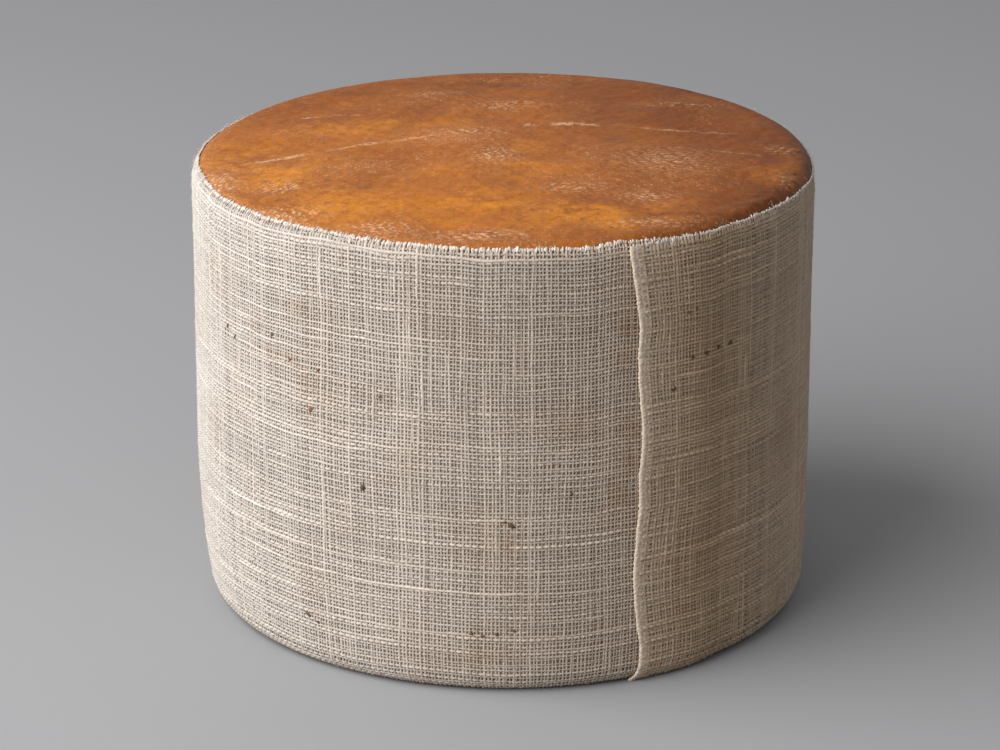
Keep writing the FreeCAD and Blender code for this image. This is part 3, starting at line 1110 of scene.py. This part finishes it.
def fuzz(lattice):
    """Fine loose fibres over the cloth, most of them nearly flat."""
    strip = lattice.strip
    random = np.random.default_rng(91)
    count = settings("cloth").fibres
    clear_selection()
    bpy.ops.mesh.primitive_cylinder_add(vertices=3, radius=MM, depth=2 * MM,
                                        rotation=(0, math.pi / 2, 0))
    hair = take("cloth_fuzz")
    bpy.ops.object.mode_set(mode="EDIT")
    for joint in (0, 0.5 * MM, -0.5 * MM):
        bpy.ops.mesh.select_all(action="SELECT")
        bpy.ops.mesh.bisect(plane_co=(joint, 0, 0), plane_no=(1, 0, 0))
    bpy.ops.object.mode_set(mode="OBJECT")
    repeat(hair, count, (ROW_STEP * MM, 0, 0))
    points = points_of(hair) / MM
    number = np.rint(points[:, 0] / ROW_STEP).astype(int)
    along = points[:, 0] - ROW_STEP * number
    one = random.random((count, 8))[number]
    turn = TAU * one[:, 0]
    long = 0.5 + 1.5 * one[:, 1] ** 2
    bend = 1.6 * (one[:, 2] - 0.5) * along
    run = along * long
    x = run * np.cos(turn + bend)
    y = run * np.sin(turn + bend)
    thin = 0.022 + 0.02 * one[:, 3]
    x = x - points[:, 1] * thin * np.sin(turn + bend)
    y = y + points[:, 1] * thin * np.cos(turn + bend)
    rise = 0.30 + (0.15 + 0.9 * one[:, 4] ** 3) * (1 + along) * 0.5 + points[:, 2] * thin
    near_hem = one[:, 5] < 0.3
    up = np.where(near_hem, 0.985 + 0.02 * one[:, 6], 0.01 + 0.98 * one[:, 6])
    across = strip.length * (0.004 + 0.95 * one[:, 7])
    move_points(hair, strip.lay(across + x * MM, up + y * MM / strip.width, rise * MM))
    tone = np.array(settings("cloth").hem) * (0.75 + 0.3 * one[:, 3:4])
    keep_colour(hair, "yarn", np.clip(tone, 0, 0.9))
    return hair


def shives(lattice):
    """Dark bits of flax stalk and knots caught in the weave."""
    strip = lattice.strip
    row, number, unit = draw_row("cloth_shives", len(SHIVES), 10, 7)
    degrees, up, long, wide, twist, orange = np.array(SHIVES)[number].T
    lumpy = 1 + 0.25 * ripple(unit[:, 0] * 3 + 9 * number, unit[:, 1] * 3, 2.5, 95)
    x, y = unit[:, 0] * long * lumpy, unit[:, 1] * wide * lumpy
    cosine, sine = np.cos(np.radians(twist)), np.sin(np.radians(twist))
    across = (np.radians(degrees) - settings("cloth").lap_edge) % TAU * strip.reach
    across = across + (x * cosine - y * sine) * MM
    up = up + (x * sine + y * cosine) * MM / strip.width
    lift = (0.25 + 0.20 * unit[:, 2] * lumpy) * MM
    move_points(row, strip.lay(across, up, lift))
    brown = np.array([to_linear(c / 255) for c in (92, 72, 52)])
    rust = np.array([to_linear(c / 255) for c in (142, 96, 60)])
    keep_colour(row, "yarn", brown + orange[:, None] * (rust - brown))
    return row


# ---------------------------------------------------------------- operators

class CHEESE_OT_rind(Operator):
    """The drum of cheese with its waxy rind"""
    bl_idname = "cheese.rind"
    bl_label = "Rind"

    def execute(self, context):
        wheel = draw_wheel(Outline(), "cheese_wheel")
        shape_rind(wheel)
        finish_piece(wheel, rind_material(), "cheese")
        return {"FINISHED"}


class CHEESE_OT_backing(Operator):
    """A sheet under the yarns that shows between them: the stained rind, with painted shade in the
    holes and painted light at the left
    """
    bl_idname = "cheese.backing"
    bl_label = "Cloth backing"

    def execute(self, context):
        cloth = settings("cloth")
        strip = Strip()
        clear_selection()
        bpy.ops.mesh.primitive_grid_add(x_subdivisions=180, y_subdivisions=32, size=1)
        backing = take("cloth_backing")
        apply_modifier(backing, "SOLIDIFY", thickness=0.12, offset=0)
        points = points_of(backing)
        across = (points[:, 0] + 0.5) * (strip.length - 2 * MM) + 1.2 * MM
        up = 0.01 + 0.98 * (points[:, 1] + 0.5)
        lift = points[:, 2] * MM - 0.33 * cloth.thickness
        move_points(backing, strip.lay(across, up, lift))
        unroll(backing, across, up)
        material, tree, surface = new_material("linen_backing", 0.95, Specular_IOR_Level=0.1)
        place = add_node(tree, "TexCoord").outputs["Object"]
        side = add_node(tree, "SeparateXYZ", {"Vector": place}).outputs["X"]
        # Paler at the left, painted light where the lamp falls; browner elsewhere, partly painted
        # shade in the holes.
        base = blend(tree, window(tree, side, -0.05, 0.05), cloth.backing_painted_light, cloth.backing)
        patchy = window(tree, noise(tree, place, 180, 4), 0.35, 0.65)
        base = blend(tree, patchy, base, (0.62, 0.58, 0.54), "MULTIPLY")
        tree.links.new(base, surface.inputs["Base Color"])
        finish_piece(backing, material, "cloth_band")
        return {"FINISHED"}


class CHEESE_OT_warps(Operator):
    """The upright yarns of the linen"""
    bl_idname = "cheese.warps"
    bl_label = "Warp yarns"

    def execute(self, context):
        weave("warp", ("right", "back", "left"), True)
        return {"FINISHED"}


class CHEESE_OT_wefts(Operator):
    """The yarns that run along the linen strip"""
    bl_idname = "cheese.wefts"
    bl_label = "Weft yarns"

    def execute(self, context):
        weave("weft", ("low", "middle", "high"), False)
        return {"FINISHED"}


class CHEESE_OT_trims(Operator):
    """Hem ends, felted selvage, loose fibres and specks of the linen"""
    bl_idname = "cheese.trims"
    bl_label = "Hems, selvage and specks"

    def execute(self, context):
        lattice = Lattice()
        material = yarn_material("linen_ends")
        for make in (hem_ends, selvage, fuzz, shives):
            finish_piece(make(lattice), material)
        return {"FINISHED"}


class CHEESE_OT_stage(Operator):
    """Floor, lamp, even light and camera"""
    bl_idname = "cheese.stage"
    bl_label = "Stage"

    def execute(self, context):
        stage = settings("stage")
        clear_selection()
        bpy.ops.mesh.primitive_circle_add(vertices=96, radius=6, fill_type="NGON")
        floor = take("floor")
        material, _, surface = new_material("plain_floor", 0.9, Specular_IOR_Level=0.1)
        surface.inputs["Base Color"].default_value = (*stage.floor, 1)
        floor.data.materials.append(material)

        middle = Vector((0, 0, CHEESE_HEIGHT / 2))
        flat = math.cos(stage.key_rise)
        key_at = middle + stage.key_distance * Vector((flat * math.sin(stage.key_turn),
                                                       -flat * math.cos(stage.key_turn),
                                                       math.sin(stage.key_rise)))
        bpy.ops.object.light_add(type="AREA", location=key_at)
        key = bpy.context.object
        key.name = "key_lamp"
        key.data.shape = "DISK"
        key.data.size = stage.key_size
        key.data.energy = stage.key_power
        key.rotation_euler = (middle - key_at).to_track_quat("-Z", "Y").to_euler()

        world = bpy.data.worlds.new("even_light")
        context.scene.world = world
        world.use_nodes = True
        world.node_tree.nodes["Background"].inputs["Color"].default_value = (1, 1, 1, 1)
        world.node_tree.nodes["Background"].inputs["Strength"].default_value = stage.fill

        reach = stage.distance
        camera_at = middle + Vector((0, -reach * math.cos(stage.elevation),
                                     reach * math.sin(stage.elevation)))
        aim = middle + Vector((-stage.aim_left, 0, -stage.aim_down))
        bpy.ops.object.camera_add(location=camera_at)
        camera = bpy.context.object
        camera.name = "camera"
        camera.rotation_euler = (aim - camera_at).to_track_quat("-Z", "Y").to_euler()
        camera.data.lens = stage.lens
        camera.data.clip_start = 0.01
        context.scene.camera = camera
        context.scene.view_settings.view_transform = "Standard"
        return {"FINISHED"}


MAKERS = (
    CHEESE_OT_rind,
    CHEESE_OT_backing,
    CHEESE_OT_warps,
    CHEESE_OT_wefts,
    CHEESE_OT_trims,
    CHEESE_OT_stage,
)


class CHEESE_PT_panel(Panel):
    """Makes the wheel piece by piece"""
    bl_idname = "CHEESE_PT_panel"
    bl_label = "Cheese Wheel"
    bl_space_type = "VIEW_3D"
    bl_region_type = "UI"
    bl_category = "Cheese"

    def draw(self, context):
        for kind, group in SETTINGS.items():
            box = self.layout.box()
            for key in group.__annotations__:
                box.prop(settings(kind), key)
        for maker in MAKERS:
            self.layout.operator(maker.bl_idname)


def register():
    for kind, group in SETTINGS.items():
        bpy.utils.register_class(group)
        setattr(bpy.types.Scene, "cheese_" + kind, PointerProperty(type=group))
    for maker in (*MAKERS, CHEESE_PT_panel):
        bpy.utils.register_class(maker)


def unregister():
    for maker in (CHEESE_PT_panel, *reversed(MAKERS)):
        bpy.utils.unregister_class(maker)
    for kind, group in SETTINGS.items():
        delattr(bpy.types.Scene, "cheese_" + kind)
        bpy.utils.unregister_class(group)


def main():
    """Makes every piece and the stage."""
    register()
    for maker in MAKERS:
        group, name = maker.bl_idname.split(".")
        getattr(getattr(bpy.ops, group), name)()
    strip = Strip()


if __name__ == "__main__":
    main()
